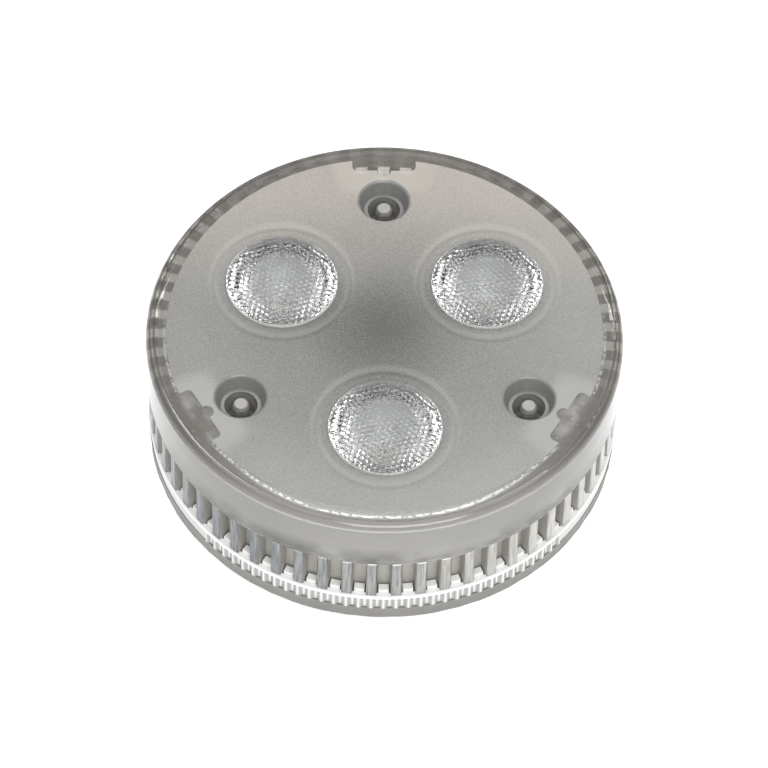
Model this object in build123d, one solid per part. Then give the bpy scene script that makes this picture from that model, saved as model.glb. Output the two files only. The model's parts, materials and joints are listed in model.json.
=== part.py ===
from build123d import *
import math
import os

# Disc lamp with three power LEDs, in millimetres.
# +Z points out of the front, and the origin is the middle of the hub's rear face.
# X runs through both contact pins. One lens lies towards -Y.

# Overall stack, from the hub's rear face to the front
lamp_diameter = 75.0
hub_height = 9.5
band_height = 3.4
ring_height = 3.1
rib_height = 8.8
skirt_height = 10.5

# Front cover
cover_wall = 1.9
cover_plate = 1.6
rim_fillet = 1.3
skirt_edge_break = 0.4
pad_thickness = 0.6
field_etch = 0.05
clear_ring = 3.2
notch_width = 10.2
notch_depth = 2.3
notch_corner = 0.8
bay_width = 2.2
bay_depth = 1.2
aperture_diameter = 17.8
dish_diameter = 23.0
dish_depth = 0.3
well_mouth_diameter = 8.0
well_step_diameter = 6.3
well_step_depth = 2.4
well_bore_diameter = 5.2
well_depth = 6.8
well_edge_fillet = 0.6
boss_wall = 1.9

# Places on the front
lens_count = 3
lens_inset = 18.75
first_lens_angle = 30.0
screw_inset = 11.65
first_screw_angle = 90.0

# Case screws
screw_diameter = 2.7
screw_tip_break = 0.35
screw_tip_drop = 2.0
screw_head_diameter = 5.2
screw_head_height = 1.9
screw_head_recess = 0.5

# Lenses and their holders
lens_rise = 0.6
lens_edge_fillet = 0.25
lens_flange = 1.2
lens_flange_overlap = 1.1
lens_foot_diameter = 9.2
lens_bulge = 0.9
cavity_room = 0.5
holder_wall = 1.2
holder_ledge = 0.8
holder_foot_wall = 2.4
holder_taper_height = 5.5

# Emitters
emitter_diameter = 7.2
emitter_height = 2.0
emitter_lead_reach = 4.9
emitter_lead_width = 1.6
emitter_lead_thickness = 0.4
dome_diameter = 5.2
dome_collar = 0.6

# LED board on its thermal pad
board_room = 3.4
board_thickness = 1.6
thermal_pad_thickness = 0.3
wire_hole_diameter = 6.2
board_screw_pitch_radius = 10.5
board_screw_diameter = 2.4
board_screw_length = 4.2
board_screw_head_diameter = 4.4
board_screw_head_height = 1.5

# Heat sink
rib_depth = 2.1
drum_wall = 2.2
drum_rise = 3.0
plate_thickness = 3.0
plate_lift = 1.6
rib_count = 60
rib_width = 1.66
rib_tip_break = 0.2
rib_top_break = 0.35
rib_inset = 0.3

# Knurled ring
ridge_count = 120
ridge_height = 0.4
ridge_base_width = 1.5
ridge_top_width = 0.5
lip_height = 0.5
spigot_wall = 1.3
tooth_height = 0.6
tooth_depth = 1.2

# Base cup
band_inset = 0.6
band_taper = 0.3
cup_wall = 2.2
cup_plate = 2.0
cup_rim_wall = 1.0
cup_rim_height = 1.0
hub_diameter = 38.0
hub_wall = 1.6
hub_floor = 1.6
hub_edge_break = 0.8
screw_post_wall = 2.0

# Contact pins and their solder tags
pin_spacing = 53.0
pin_neck_diameter = 3.0
pin_neck_length = 4.0
pin_head_diameter = 5.0
pin_head_height = 2.0
pin_head_fillet = 0.7
rivet_diameter = 4.8
rivet_height = 0.8
tag_thickness = 0.4
tag_diameter = 6.6
tag_tail_width = 2.6
tag_tail_reach = 5.5

# Driver, its parts and its leads
driver_thickness = 1.6
insulator_thickness = 0.4
main_capacitor_diameter = 8.0
main_capacitor_length = 12.0
main_capacitor_y = 9.0
film_capacitor_size = (10.0, 4.5, 8.0)
film_capacitor_place = (8.5, -4.0)
inductor_diameter = 9.0
inductor_height = 8.2
inductor_place = (-8.5, -3.5)
inductor_neck_diameter = 4.0
inductor_flange = 1.2
winding_inset = 0.4
fuse_diameter = 3.2
fuse_length = 7.0
fuse_y = -12.0
rectifier_size = (6.5, 5.0, 2.4)
rectifier_place = (-9.0, 8.0)
control_size = (4.9, 3.9, 1.6)
control_place = (8.0, -8.0)
control_leg = (0.45, 6.0, 0.5)
control_leg_pitch = 1.27
mains_lead_diameter = 1.0
mains_lead_arch = 1.3
mains_lead_inset = 2.0
mains_lead_bend = 1.0
led_lead_diameter = 1.2
led_lead_offset = 1.8
led_lead_arch = 2.1
led_lead_reach = 6.4
led_lead_bend = 1.4

# Clearances, all on the radius or on one side
skirt_fit = 0.2
lens_fit = 0.05
flange_fit = 0.15
fin_gap = 0.3
holder_fit = 0.1
thread_fit = 0.02
screw_fit = 0.15
head_fit = 0.3
boss_fit = 0.4
pin_fit = 0.03
spigot_fit = 0.2
spigot_room = 0.6
rim_fit = 0.2
tooth_fit = 0.2
driver_gap = 0.7
post_gap = 0.5
insulator_gap = 0.95
emitter_room = 0.3
part_gap = 0.1

# Levels that follow from the stack
seat_z = hub_height
ring_z = seat_z + band_height
rib_z = ring_z + ring_height
skirt_z = rib_z + rib_height
front_z = skirt_z + skirt_height
cup_plate_z = seat_z + cup_plate
driver_z = cup_plate_z + driver_thickness
plate_under_z = rib_z + plate_lift
plate_z = plate_under_z + plate_thickness
board_z = plate_z + thermal_pad_thickness + board_thickness
emitter_z = board_z + emitter_height
dome_z = emitter_z + dome_collar + dome_diameter / 2
field_z = front_z - field_etch
cover_under_z = front_z - cover_plate
pad_under_z = cover_under_z - pad_thickness
lens_front_z = front_z - dish_depth + lens_rise
lens_flange_z = pad_under_z - lens_flange
lens_foot_z = emitter_z + emitter_room
well_floor_z = front_z - well_depth
screw_seat_z = seat_z + screw_head_recess + screw_head_height

# Radii that follow from the diameters
lamp_radius = lamp_diameter / 2
skirt_inner_radius = lamp_radius - cover_wall
pad_radius = lamp_radius - clear_ring
lens_pitch_radius = lamp_radius - lens_inset
screw_pitch_radius = lamp_radius - screw_inset
rib_radius = lamp_radius - rib_inset
drum_radius = rib_radius - rib_depth
room_radius = drum_radius - drum_wall
inner_rib_radius = skirt_inner_radius - skirt_fit
board_radius = room_radius - board_room
aperture_radius = aperture_diameter / 2
lens_nose_radius = aperture_radius - lens_fit
lens_flange_radius = aperture_radius + lens_flange_overlap
holder_bore_radius = lens_flange_radius + flange_fit
holder_radius = holder_bore_radius + holder_wall
boss_radius = well_bore_diameter / 2 + boss_wall
band_radius = lamp_radius - band_inset
cup_inner_radius = band_radius - band_taper - cup_wall
ring_core_radius = lamp_radius - ridge_height
ridge_slope = (ridge_base_width - ridge_top_width) / 2 / ridge_height
ridge_root = ridge_height / 2
post_radius = screw_head_diameter / 2 + head_fit + screw_post_wall / 2
screw_hole_radius = screw_diameter / 2 + screw_fit
driver_radius = pin_spacing / 2 - tag_diameter / 2 - driver_gap
insulator_radius = screw_pitch_radius - post_radius - insulator_gap

UP = (Align.CENTER, Align.CENTER, Align.MIN)
OUT = (Align.MIN, Align.CENTER)
OVERCUT = 1.0

lens_angles = [first_lens_angle + i * 360 / lens_count for i in range(lens_count)]
screw_angles = [first_screw_angle + i * 360 / lens_count for i in range(lens_count)]


def spot(radius, angle, z=0.0):
    """A place on a pitch circle, with local X pointing outwards."""
    return Rot(0, 0, angle) * Pos(radius, 0, z)


def disc(radius, low, high):
    """An upright cylinder about the lamp's axis between two heights."""
    return Pos(0, 0, low) * Cylinder(radius, high - low, align=UP)


def cone(low_radius, high_radius, low, high):
    return Pos(0, 0, low) * Cone(low_radius, high_radius, high - low, align=UP)


def turned(*points):
    """A turned body from its half section, given as (radius, height) points."""
    outline = Polyline(*[(r, 0, z) for r, z in points], close=True)
    return revolve(make_face(outline), Axis.Z)


def ring_edge(body, radius, z):
    """The circular edges of a turned body with a given radius and height."""
    circles = body.edges().filter_by(GeomType.CIRCLE)
    return [e for e in circles if abs(e.radius - radius) < 1e-6 and abs(e.arc_center.Z - z) < 1e-6]


def prism(sketch, low, high):
    return extrude(Pos(0, 0, low) * sketch, high - low)


def tube_along(points, bend, diameter):
    """A wire of round section along straight runs with equal bends."""
    path = FilletPolyline(*points, radius=bend)
    section = Plane(path @ 0, z_dir=path % 0) * Circle(diameter / 2)
    return sweep(section, path)


def pad_outline():
    """The frosted field: a disc with a stepped notch beside each screw well."""
    outline = Circle(pad_radius)
    notch = Rectangle(2 * notch_depth, notch_width)
    notch = fillet(notch.vertices(), notch_corner)
    bay = SlotOverall(2 * (notch_depth + bay_depth), bay_width)
    for angle in screw_angles:
        outline -= spot(pad_radius, angle) * (notch + bay)
    return outline


def screw_well():
    """The space of one well about its own axis: soft mouth, taper, step and bore."""
    step_z = field_z - well_step_depth
    mouth = turned(
        (0, field_z),
        (well_mouth_diameter / 2, field_z),
        (well_step_diameter / 2, step_z),
        (0, step_z),
    )
    bore = disc(well_bore_diameter / 2, well_floor_z, front_z)
    pilot = disc(screw_diameter / 2 + thread_fit, plate_z - OVERCUT, front_z)
    return mouth + bore + pilot


def make_front_cover():
    cup = turned(
        (0, front_z),
        (lamp_radius, front_z),
        (lamp_radius, skirt_z),
        (skirt_inner_radius, skirt_z),
        (skirt_inner_radius, cover_under_z),
        (0, cover_under_z),
    )
    cup = fillet(ring_edge(cup, lamp_radius, front_z), rim_fillet)
    cup = chamfer(ring_edge(cup, lamp_radius, skirt_z), skirt_edge_break)
    field = pad_outline()
    cup += prism(field, pad_under_z, cover_under_z)
    cup -= prism(field, field_z, front_z)
    for angle in screw_angles:
        cup += spot(screw_pitch_radius, angle) * disc(boss_radius, plate_z, cover_under_z)
    dish = cone(aperture_radius, dish_diameter / 2, front_z - dish_depth, front_z)
    aperture = disc(aperture_radius, pad_under_z - OVERCUT, front_z) + dish
    for angle in lens_angles:
        cup -= spot(lens_pitch_radius, angle) * aperture
    for angle in screw_angles:
        cup -= spot(screw_pitch_radius, angle) * screw_well()
    mouths = ring_edge(cup, well_mouth_diameter / 2, field_z)
    return fillet(mouths, well_edge_fillet)


def make_lens():
    """A collimator: flat nose in the aperture, flange under the plate, curved flank down to the emitter."""
    foot = (lens_foot_diameter / 2, 0, lens_foot_z)
    flank_end = (lens_nose_radius, 0, lens_flange_z)
    middle_r = (foot[0] + flank_end[0]) / 2 + lens_bulge / 2
    middle_z = (foot[2] + flank_end[2]) / 2 - lens_bulge / 2
    flank = ThreePointArc(foot, (middle_r, 0, middle_z), flank_end)
    rest = Polyline(
        flank_end,
        (lens_flange_radius, 0, lens_flange_z),
        (lens_flange_radius, 0, pad_under_z),
        (lens_nose_radius, 0, pad_under_z),
        (lens_nose_radius, 0, lens_front_z),
        (0, 0, lens_front_z),
        (0, 0, lens_foot_z),
        foot,
    )
    body = revolve(make_face(flank + rest), Axis.Z)
    body = fillet(ring_edge(body, lens_nose_radius, lens_front_z), lens_edge_fillet)
    cavity = disc(dome_diameter / 2 + cavity_room, lens_foot_z, dome_z + cavity_room)
    return body - cavity


def make_lens_holder():
    """A cup on the LED board whose ledge carries the lens flange."""
    foot_bore = emitter_lead_reach + holder_fit * 2
    ledge_radius = holder_bore_radius - holder_ledge
    holder_top = pad_under_z - holder_fit
    return turned(
        (foot_bore, board_z),
        (foot_bore + holder_foot_wall, board_z),
        (holder_radius, board_z + holder_taper_height),
        (holder_radius, holder_top),
        (holder_bore_radius, holder_top),
        (holder_bore_radius, lens_flange_z),
        (ledge_radius, lens_flange_z),
        (ledge_radius, board_z + holder_taper_height),
    )


def make_led_emitter():
    body = cone(emitter_diameter / 2, emitter_diameter / 2 - emitter_lead_thickness, board_z, emitter_z)
    leads = Pos(0, 0, board_z) * Box(
        2 * emitter_lead_reach, emitter_lead_width, emitter_lead_thickness, align=UP
    )
    return body + leads


def make_led_dome():
    collar_z = emitter_z + dome_collar
    ball = Pos(0, 0, collar_z) * Sphere(dome_diameter / 2)
    upper = ball & disc(dome_diameter / 2, collar_z, dome_z)
    return disc(dome_diameter / 2, emitter_z, collar_z) + upper


def board_outline(screw_hole_diameter):
    """Round board with three edge notches for the cover's bosses, screw holes and a wire hole."""
    outline = Circle(board_radius) - Circle(wire_hole_diameter / 2)
    for angle in screw_angles:
        outline -= spot(screw_pitch_radius, angle) * Circle(boss_radius + boss_fit)
        outline -= spot(board_screw_pitch_radius, angle) * Circle(screw_hole_diameter / 2)
    return outline


def make_board_screws():
    head = disc(board_screw_head_diameter / 2, board_z, board_z + board_screw_head_height)
    head = fillet(ring_edge(head, board_screw_head_diameter / 2, board_z + board_screw_head_height),
                  board_screw_head_height / 3)
    shank = disc(board_screw_diameter / 2, board_z - board_screw_length, board_z)
    return Compound([spot(board_screw_pitch_radius, angle) * (head + shank) for angle in screw_angles])


def rib_outlines(radius):
    """The ring of ribs, from the middle of the drum's wall out to a radius."""
    depth = radius - drum_radius + drum_wall / 2
    rib = Pos(radius - depth, 0) * Rectangle(depth, rib_width, align=OUT)
    tips = rib.vertices().group_by(Axis.X)[-1]
    rib = chamfer(tips, min(rib_tip_break, (radius - drum_radius) / 3))
    return [Rot(0, 0, (i + 0.5) * 360 / rib_count) * rib for i in range(rib_count)]


def make_heat_sink():
    """A cast cup: mounting plate, rim wall and ribs that step in and stand free inside the cover's skirt."""
    turned_tips = disc(rib_radius, rib_z, skirt_z)
    turned_tips = chamfer(ring_edge(turned_tips, rib_radius, skirt_z), rib_top_break)
    drum = prism(Circle(drum_radius) + rib_outlines(rib_radius), rib_z, skirt_z) & turned_tips
    drum += disc(drum_radius, skirt_z, skirt_z + drum_rise)
    fins = prism(Sketch() + rib_outlines(inner_rib_radius), skirt_z, pad_under_z - fin_gap)
    drum += fins
    drum -= disc(room_radius, rib_z, plate_under_z)
    drum -= disc(room_radius, plate_z, skirt_z + drum_rise)
    drum -= disc(wire_hole_diameter / 2, rib_z, plate_z)
    for angle in screw_angles:
        drum -= spot(screw_pitch_radius, angle) * disc(screw_hole_radius, rib_z, plate_z)
        tapped = disc(board_screw_diameter / 2 + thread_fit, rib_z, plate_z)
        drum -= spot(board_screw_pitch_radius, angle) * tapped
    return drum


def make_knurled_ring():
    """White ring: a ridged edge under a smooth lip, a spigot into the heat sink and teeth between its ribs."""
    bore_radius = room_radius - spigot_fit - spigot_wall
    ridge = Trapezoid(
        ridge_base_width + 2 * ridge_slope * ridge_root,
        ridge_height + ridge_root,
        math.degrees(math.atan(1 / ridge_slope)),
        rotation=-90,
        align=(Align.CENTER, Align.MAX),
    )
    ridges = [spot(lamp_radius, i * 360 / ridge_count) * ridge for i in range(ridge_count)]
    body = prism(Circle(ring_core_radius) + ridges, ring_z, rib_z - lip_height)
    body += disc(lamp_radius, rib_z - lip_height, rib_z)
    body += disc(room_radius - spigot_fit, rib_z, plate_under_z - spigot_room)
    gap_width = 2 * math.pi * drum_radius / rib_count - rib_width
    tooth = Pos(0, 0, rib_z) * Box(
        tooth_depth, gap_width - 2 * tooth_fit, tooth_height, align=(Align.MIN, Align.CENTER, Align.MIN)
    )
    body += [spot(drum_radius + tooth_fit, i * 360 / rib_count) * tooth for i in range(rib_count)]
    body -= disc(bore_radius, ring_z, plate_under_z)
    rebate_radius = cup_inner_radius + cup_rim_wall + rim_fit
    return body - disc(rebate_radius, ring_z, ring_z + cup_rim_height + rim_fit)


def make_base_cup():
    """Base with a tapered band, a rear seat, the plug-in hub and three posts for the case screws."""
    hub_radius = hub_diameter / 2
    cup = turned(
        (0, 0),
        (hub_radius - hub_edge_break, 0),
        (hub_radius, hub_edge_break),
        (hub_radius, seat_z),
        (band_radius - band_taper, seat_z),
        (band_radius, ring_z),
        (cup_inner_radius + cup_rim_wall, ring_z),
        (cup_inner_radius + cup_rim_wall, ring_z + cup_rim_height),
        (cup_inner_radius, ring_z + cup_rim_height),
        (cup_inner_radius, cup_plate_z),
        (hub_radius - hub_wall, cup_plate_z),
        (hub_radius - hub_wall, hub_floor),
        (0, hub_floor),
    )
    recess = disc(screw_head_diameter / 2 + head_fit, seat_z, screw_seat_z)
    for angle in screw_angles:
        place = spot(screw_pitch_radius, angle)
        cup += place * disc(post_radius, seat_z, plate_under_z)
        cup -= place * (recess + disc(screw_hole_radius, seat_z, plate_under_z))
    for side in (-1, 1):
        cup -= Pos(side * pin_spacing / 2, 0) * disc(pin_neck_diameter / 2 + pin_fit, seat_z, cup_plate_z)
    return cup


def make_case_screws():
    """Long screws from the rear recesses up into the wells of the cover."""
    radius = screw_diameter / 2
    tip_z = front_z - screw_tip_drop
    shank = disc(radius, screw_seat_z, tip_z)
    shank = chamfer(ring_edge(shank, radius, tip_z), screw_tip_break)
    head_z = screw_seat_z - screw_head_height
    head = disc(screw_head_diameter / 2, head_z, screw_seat_z)
    head = fillet(ring_edge(head, screw_head_diameter / 2, head_z), screw_head_height / 3)
    return Compound([spot(screw_pitch_radius, angle) * (head + shank) for angle in screw_angles])


def make_contact_pin():
    """A mushroom pin, riveted over its solder tag on the inside."""
    neck = pin_neck_diameter / 2
    head = pin_head_diameter / 2
    tag_top = cup_plate_z + tag_thickness
    head_top = seat_z - pin_neck_length
    end_z = head_top - pin_head_height
    pin = disc(neck, head_top, tag_top)
    pin += disc(head, end_z, head_top)
    pin += disc(rivet_diameter / 2, tag_top, tag_top + rivet_height)
    return fillet(ring_edge(pin, head, end_z), pin_head_fillet)


def make_pin_tag():
    """A ring tag under the rivet with a tail to one side."""
    outline = Circle(tag_diameter / 2)
    outline += Rectangle(tag_tail_width, tag_tail_reach, align=(Align.CENTER, Align.MIN))
    outline -= Circle(pin_neck_diameter / 2 + pin_fit)
    return prism(outline, cup_plate_z, cup_plate_z + tag_thickness)


def make_mains_lead():
    """From the tag's tail up and over to the driver board, towards the middle."""
    y = tag_tail_reach - mains_lead_diameter
    end_x = pin_spacing / 2 - driver_radius + mains_lead_inset
    top = driver_z + mains_lead_arch
    points = [
        (0, y, cup_plate_z + tag_thickness),
        (0, y, top),
        (end_x, y, top),
        (end_x, y, driver_z),
    ]
    return tube_along(points, mains_lead_bend, mains_lead_diameter)


def make_led_lead():
    """From the driver board through the wire hole, over the edge and down to a pad of the LED board."""
    top = board_z + led_lead_arch
    points = [
        (led_lead_offset, 0, driver_z),
        (led_lead_offset, 0, top),
        (led_lead_reach, 0, top),
        (led_lead_reach, 0, board_z),
    ]
    return tube_along(points, led_lead_bend, led_lead_diameter)


def make_driver_board():
    """Round board with a notch for each screw post."""
    outline = Circle(driver_radius)
    for angle in screw_angles:
        outline -= spot(screw_pitch_radius, angle) * Circle(post_radius + post_gap)
    return prism(outline, cup_plate_z, driver_z)


def make_insulator_disc():
    outline = Circle(insulator_radius) - Circle(wire_hole_diameter / 2)
    return prism(outline, plate_under_z - insulator_thickness, plate_under_z)


def make_main_capacitor():
    radius = main_capacitor_diameter / 2
    can = Rot(0, 90, 0) * Cylinder(radius, main_capacitor_length)
    can = fillet(can.edges().filter_by(GeomType.CIRCLE), radius / 6)
    return Pos(0, main_capacitor_y, cup_plate_z - part_gap - radius) * can


def make_film_capacitor():
    length, width, height = film_capacitor_size
    body = Box(length, width, height)
    body = fillet(body.edges().filter_by(Axis.Z), width / 6)
    x, y = film_capacitor_place
    return Pos(x, y, cup_plate_z - part_gap - height / 2) * body


def inductor_place_at(body):
    x, y = inductor_place
    return Pos(x, y, cup_plate_z - part_gap - inductor_height) * body


def make_inductor_core():
    outer = inductor_diameter / 2
    core = disc(inductor_neck_diameter / 2, 0, inductor_height)
    core += disc(outer, 0, inductor_flange)
    core += disc(outer, inductor_height - inductor_flange, inductor_height)
    return inductor_place_at(core)


def make_inductor_winding():
    low = inductor_flange
    high = inductor_height - inductor_flange
    coil = disc(inductor_diameter / 2 - winding_inset, low, high)
    coil -= disc(inductor_neck_diameter / 2, low, high)
    return inductor_place_at(coil)


def make_fuse_resistor():
    radius = fuse_diameter / 2
    body = Rot(0, 90, 0) * Cylinder(radius, fuse_length)
    body = fillet(body.edges().filter_by(GeomType.CIRCLE), radius / 3)
    return Pos(0, fuse_y, cup_plate_z - part_gap - radius) * body


def make_bridge_rectifier():
    length, width, height = rectifier_size
    body = Box(length, width, height, align=UP)
    body = chamfer(body.edges().group_by(Axis.Z)[-1], height / 8)
    return Pos(*rectifier_place, driver_z) * body


def make_control_ic():
    length, width, height = control_size
    leg_width, leg_span, leg_height = control_leg
    body = Box(length, width, height, align=UP)
    for i in range(4):
        x = (i - 1.5) * control_leg_pitch
        body += Pos(x, 0, 0) * Box(leg_width, leg_span, leg_height, align=UP)
    return Pos(*control_place, driver_z) * body


def make_all():
    nodes = {
        "front_cover": make_front_cover(),
        "case_screws": make_case_screws(),
        "heat_sink": make_heat_sink(),
        "knurled_ring": make_knurled_ring(),
        "base_cup": make_base_cup(),
        "thermal_pad": prism(board_outline(board_screw_diameter + 2 * screw_fit), plate_z,
                             plate_z + thermal_pad_thickness),
        "led_board": prism(board_outline(board_screw_diameter + 2 * screw_fit),
                           plate_z + thermal_pad_thickness, board_z),
        "board_screws": make_board_screws(),
        "insulator_disc": make_insulator_disc(),
        "driver_board": make_driver_board(),
        "main_capacitor": make_main_capacitor(),
        "film_capacitor": make_film_capacitor(),
        "inductor_core": make_inductor_core(),
        "inductor_winding": make_inductor_winding(),
        "fuse_resistor": make_fuse_resistor(),
        "bridge_rectifier": make_bridge_rectifier(),
        "control_ic": make_control_ic(),
        "led_lead_positive": make_led_lead(),
        "led_lead_negative": Rot(0, 0, 180) * make_led_lead(),
    }
    for i, angle in enumerate(lens_angles, start=1):
        place = spot(lens_pitch_radius, angle)
        nodes[f"lens_{i}"] = place * make_lens()
        nodes[f"lens_holder_{i}"] = place * make_lens_holder()
        nodes[f"led_emitter_{i}"] = place * make_led_emitter()
        nodes[f"led_dome_{i}"] = place * make_led_dome()
    for i, angle in enumerate((180, 0), start=1):
        place = Rot(0, 0, angle) * Pos(-pin_spacing / 2, 0)
        nodes[f"contact_pin_{i}"] = place * make_contact_pin()
        nodes[f"pin_tag_{i}"] = place * make_pin_tag()
        nodes[f"mains_lead_{i}"] = place * make_mains_lead()
    return nodes


os.makedirs("parts", exist_ok=True)
for name, shape in make_all().items():
    export_step(shape, f"parts/{name}.step")
    print(name, round(shape.volume, 1), "mm3")
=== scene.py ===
# %% [markdown]
# # A disc lamp, dressed for its portrait
# This lesson takes the measured solids of a flat round LED lamp and gives them the finish of the real
# one: a frosted clear cover, honeycomb lenses, silver ribs, a glossy white ring and a grey base. The
# solids stay where they are. Where a surface needs softer edges or finer detail than a solid has, a new
# mesh takes its place, in the same frame and at the same size.

# %% Load the solids
import json
import math

import bmesh
import bpy
from mathutils import Matrix, Vector


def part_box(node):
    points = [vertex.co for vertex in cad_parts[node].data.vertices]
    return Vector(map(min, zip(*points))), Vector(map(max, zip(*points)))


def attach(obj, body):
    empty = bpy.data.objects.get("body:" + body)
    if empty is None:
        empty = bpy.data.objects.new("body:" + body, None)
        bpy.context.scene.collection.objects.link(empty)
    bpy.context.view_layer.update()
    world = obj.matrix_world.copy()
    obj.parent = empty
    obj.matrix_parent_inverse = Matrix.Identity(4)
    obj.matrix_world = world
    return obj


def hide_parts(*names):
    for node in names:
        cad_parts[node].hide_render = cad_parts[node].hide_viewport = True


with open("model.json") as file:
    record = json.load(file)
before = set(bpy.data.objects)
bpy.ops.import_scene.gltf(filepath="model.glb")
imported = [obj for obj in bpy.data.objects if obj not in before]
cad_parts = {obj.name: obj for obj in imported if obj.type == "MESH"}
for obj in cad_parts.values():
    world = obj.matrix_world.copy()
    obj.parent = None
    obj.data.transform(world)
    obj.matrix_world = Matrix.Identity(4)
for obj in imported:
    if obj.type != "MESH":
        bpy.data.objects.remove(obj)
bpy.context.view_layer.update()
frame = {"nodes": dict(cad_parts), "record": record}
nodes = frame["nodes"]
print("solids loaded:", len(nodes))

# %% [markdown]
# ## Sizes
# The frame is in metres. The few heights and radii that the new meshes share with the solids are read
# from the solids' boxes, and the rest are written once here in millimetres.

# %% Sizes that several pieces share
MM = 0.001
lamp_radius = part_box("front_cover")[1].x
front_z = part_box("front_cover")[1].z
ring_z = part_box("knurled_ring")[0].z
skirt_height = 10.5 * MM
rib_height = 8.8 * MM
rib_count = 60
skirt_z = front_z - skirt_height
rib_z = skirt_z - rib_height
lens_angles = (30, 150, 270)
screw_angles = (90, 210, 330)
lens_pitch_radius = lamp_radius - 18.75 * MM
screw_pitch_radius = lamp_radius - 11.65 * MM
print("front at", round(front_z / MM, 2), "mm, skirt from", round(skirt_z / MM, 2), "mm")

# %% [markdown]
# ## Helpers for meshes
# A turned piece is drawn as half a section and spun about the lamp's axis. Every new mesh is finished
# in the same way: seams are merged, faces are turned outwards, and the shading is smooth except at
# crisp edges. An edge is also crisp where a large flat face meets a small one, so flat stays flat.

# %% Turn, finish and place a mesh
CRISP = math.radians(32)
LEVEL = math.radians(1)
MUCH_LARGER = 6
FLAT = 0.9999
SAME_POINT = 0.0005 * MM


def turn(bm, points, steps):
    """Half a section, as (radius, height) points, spun once round the lamp's axis."""
    verts = [bm.verts.new((r, 0, z)) for r, z in points]
    edges = [bm.edges.new(pair) for pair in zip(verts, verts[1:] + verts[:1])]
    bmesh.ops.spin(
        bm, geom=verts + edges, cent=(0, 0, 0), axis=(0, 0, 1), angle=math.tau, steps=steps,
        use_merge=True,
    )


def polar(radius, degrees):
    """A point at a radius and an angle from the lamp's axis."""
    angle = math.radians(degrees)
    return Vector((radius * math.cos(angle), radius * math.sin(angle), 0))


def is_crisp(edge):
    """Whether the shading breaks at an edge."""
    if len(edge.link_faces) != 2:
        return True
    one, other = (abs(f.normal.z) > FLAT for f in edge.link_faces)
    if one != other:
        return True
    angle = edge.calc_face_angle(0.0)
    small, large = sorted(f.calc_area() for f in edge.link_faces)
    return angle > CRISP or (angle > LEVEL and large > small * MUCH_LARGER)


def place_piece(name, bm, finish, node, outward=True):
    """Makes the object, lets it ride on the lamp and stand for its solid."""
    bmesh.ops.remove_doubles(bm, verts=bm.verts, dist=SAME_POINT)
    if outward:
        bmesh.ops.recalc_face_normals(bm, faces=bm.faces)
    bm.normal_update()
    for face in bm.faces:
        face.smooth = True
    for edge in bm.edges:
        edge.smooth = not is_crisp(edge)
    mesh = bpy.data.meshes.new(name)
    bm.to_mesh(mesh)
    bm.free()
    mesh.materials.append(finish)
    piece = bpy.data.objects.new(name, mesh)
    bpy.context.scene.collection.objects.link(piece)
    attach(piece, "root")
    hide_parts(node)
    print(name, "has", len(mesh.polygons), "faces")
    return piece


# %% [markdown]
# ## Helpers for finishes
# Each finish is one Principled shader. Colour, roughness and bump vary with noise that is read in
# Object coordinates, so a pattern keeps its size in millimetres on every piece. The Mix node has several
# sockets of the same name, so its colour sockets are picked by number.

# %% Start a finish and add noise to it
MIX_DARK, MIX_LIGHT, MIX_RESULT = 6, 7, 2
BEYOND_LAMP = 1.0


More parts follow.
